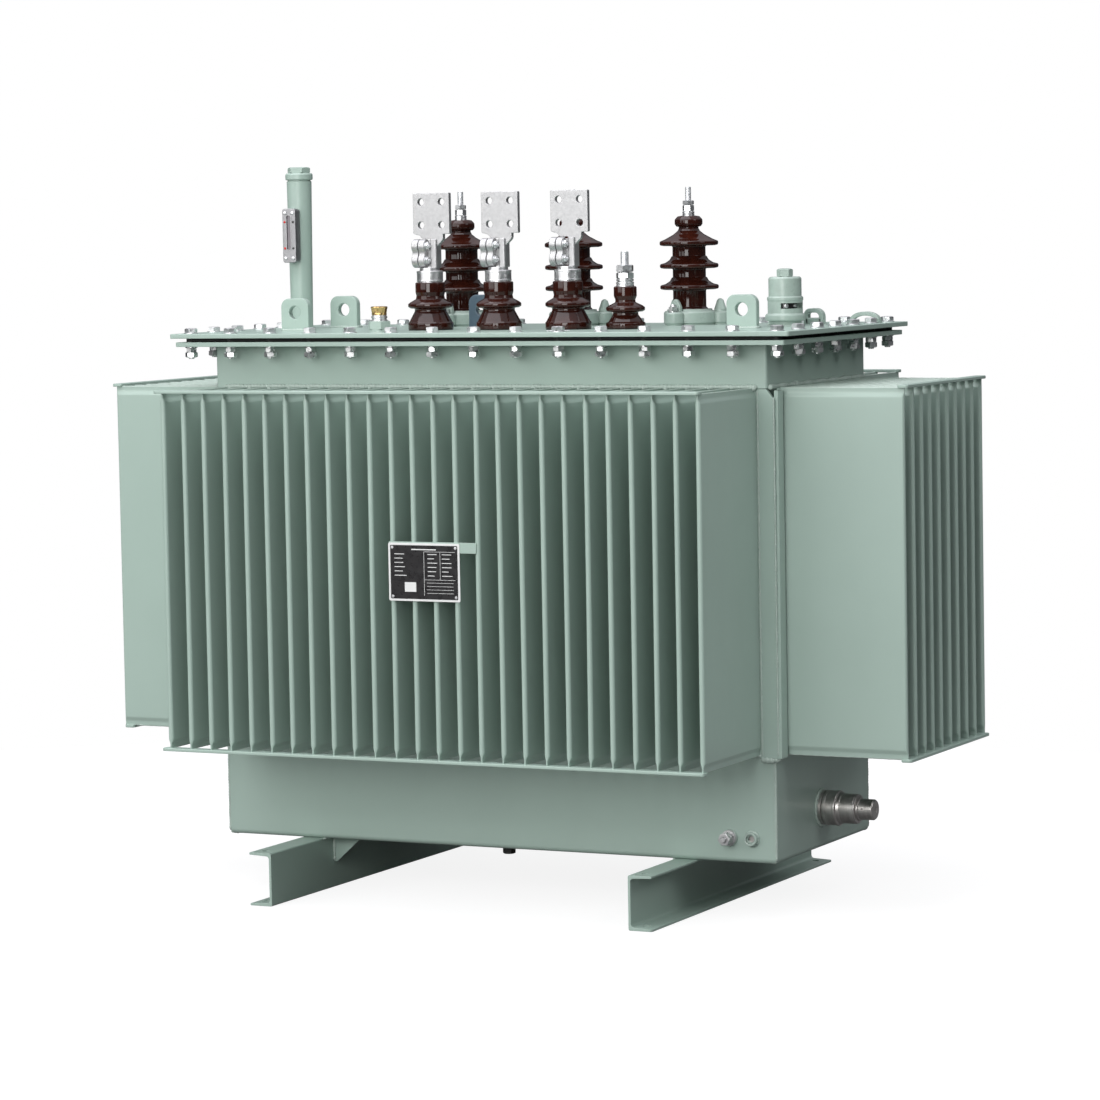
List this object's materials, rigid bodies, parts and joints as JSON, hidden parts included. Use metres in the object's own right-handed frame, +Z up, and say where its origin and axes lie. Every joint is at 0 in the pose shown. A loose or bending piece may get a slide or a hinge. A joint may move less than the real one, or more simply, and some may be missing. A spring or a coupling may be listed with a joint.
{
  "type": "power transformer",
  "caption": "Oil-immersed distribution transformer with corrugated fin tank, bolted cover, porcelain bushings, filler tube and channel feet.",
  "frame": {"origin": "centre of the footprint at ground level, midway between the two channel feet", "axes": "+X along the long side towards the drain valve, -Y towards the low-voltage side, +Z up"},
  "size_m": [1.712, 1.006, 1.4284],
  "materials": {
    "paint": "satin grey-green paint",
    "gasket": "matt black",
    "dark_steel": "satin black",
    "bare_steel": "worn bare steel",
    "zinc": "bright zinc plate",
    "brass": "polished brass",
    "porcelain": "dark brown glazed porcelain",
    "cast_aluminium": "cast, tin plated",
    "plate_black": "black enamel"
  },
  "bodies": {
    "root": {"tank_base": "paint", "tank_body": "paint", "tank_collar": "paint", "tank_flange": "paint", "cover_gasket": "gasket", "tank_cover": "paint", "fin_wall_front": "paint", "fin_wall_right": "paint", "fin_wall_back": "paint", "fin_wall_left": "paint", "tip_bars_front": "paint", "tip_bars_back": "paint", "tip_bars_right": "paint", "tip_bars_left": "paint", "corner_posts": "paint", "foot_channel_left": "paint", "foot_channel_right": "paint", "foot_gussets": "paint", "drain_plug": "dark_steel", "drain_valve": "bare_steel", "drain_valve_cap": "bare_steel", "earth_bolt": "zinc", "earth_boss": "paint", "lifting_lugs": "paint", "centre_lug": "paint", "filler_tube": "paint", "filler_cap": "paint", "level_gauge": "zinc", "thermometer_pocket": "paint", "thermometer_cap": "brass", "hv_bushings": "porcelain", "hv_clamp_rings": "paint", "hv_terminals": "zinc", "lv_bushings": "porcelain", "lv_caps": "cast_aluminium", "lv_terminals": "cast_aluminium", "neutral_bushing": "porcelain", "neutral_terminal": "zinc", "tap_changer": "paint", "tap_changer_knob": "paint", "lid_handle": "paint", "rear_eye": "paint", "plate_bracket": "zinc", "rating_plate": "plate_black"}
  },
  "joints": []
}
